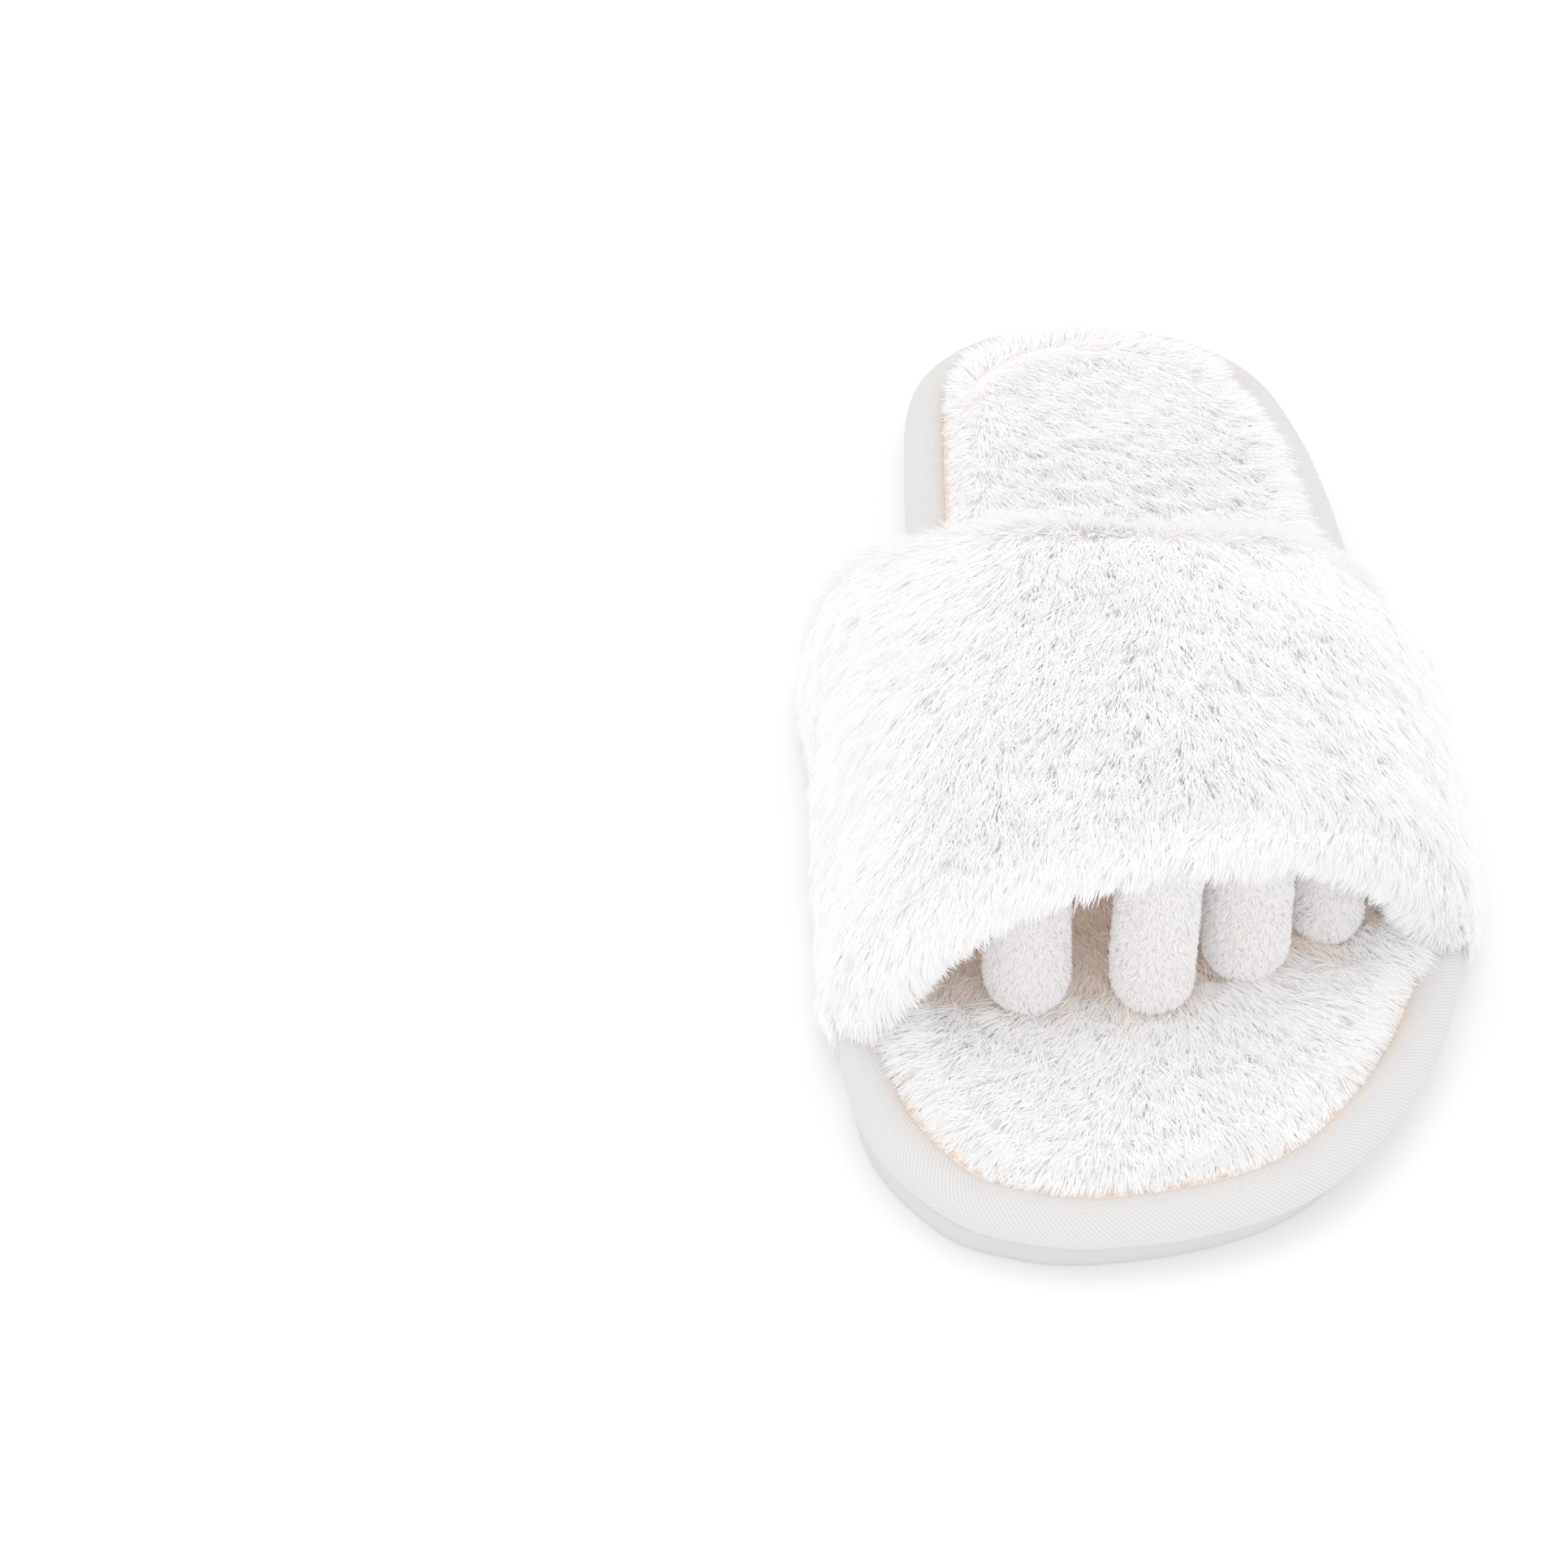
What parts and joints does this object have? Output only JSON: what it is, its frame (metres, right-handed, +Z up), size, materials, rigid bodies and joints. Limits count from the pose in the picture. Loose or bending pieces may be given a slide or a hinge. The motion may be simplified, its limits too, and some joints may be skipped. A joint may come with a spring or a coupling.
{
  "type": "open-toe plush slipper",
  "caption": "Slip-on house slipper with a plush band over the forefoot, a bound pile footbed, a flat outsole and padded toe separators.",
  "frame": {"origin": "middle of the flat tread, on the surface that the slipper stands on", "axes": "+Y from toe to heel, +X towards the little-toe side, +Z up out of the footbed"},
  "size_m": [0.111, 0.27, 0.0615],
  "materials": {
    "outsole": "smooth matte grey-beige moulded foam rubber",
    "filler": "dark foam sheet, hidden",
    "board": "fibre board, hidden",
    "foam": "open-cell foam, hidden",
    "binding": "fine off-white twill tape",
    "seam_thread": "tan thread in the seam groove",
    "stitch_thread": "cream thread",
    "plush": "long white plush pile",
    "lining": "short warm-white plush pile",
    "separator_plush": "short off-white plush pile",
    "stuffing": "loose fibre stuffing, hidden"
  },
  "bodies": {
    "root": {"outsole": "outsole", "bottom_filler": "filler", "insole_board": "board", "cushion_foam": "foam", "edge_binding": "binding", "binding_seam_thread": "seam_thread", "footbed_sock": "plush", "upper_fur": "plush", "upper_padding": "foam", "upper_lining": "lining", "front_edge_thread": "stitch_thread", "rear_edge_thread": "stitch_thread", "toe_separator_cover_1": "separator_plush", "toe_separator_cover_2": "separator_plush", "toe_separator_cover_3": "separator_plush", "toe_separator_cover_4": "separator_plush", "toe_separator_fill_1": "stuffing", "toe_separator_fill_2": "stuffing", "toe_separator_fill_3": "stuffing", "toe_separator_fill_4": "stuffing", "separator_base_stitch_1": "stitch_thread", "separator_base_stitch_2": "stitch_thread", "separator_base_stitch_3": "stitch_thread", "separator_base_stitch_4": "stitch_thread", "separator_top_stitch_1": "stitch_thread", "separator_top_stitch_2": "stitch_thread", "separator_top_stitch_3": "stitch_thread", "separator_top_stitch_4": "stitch_thread"}
  },
  "joints": []
}
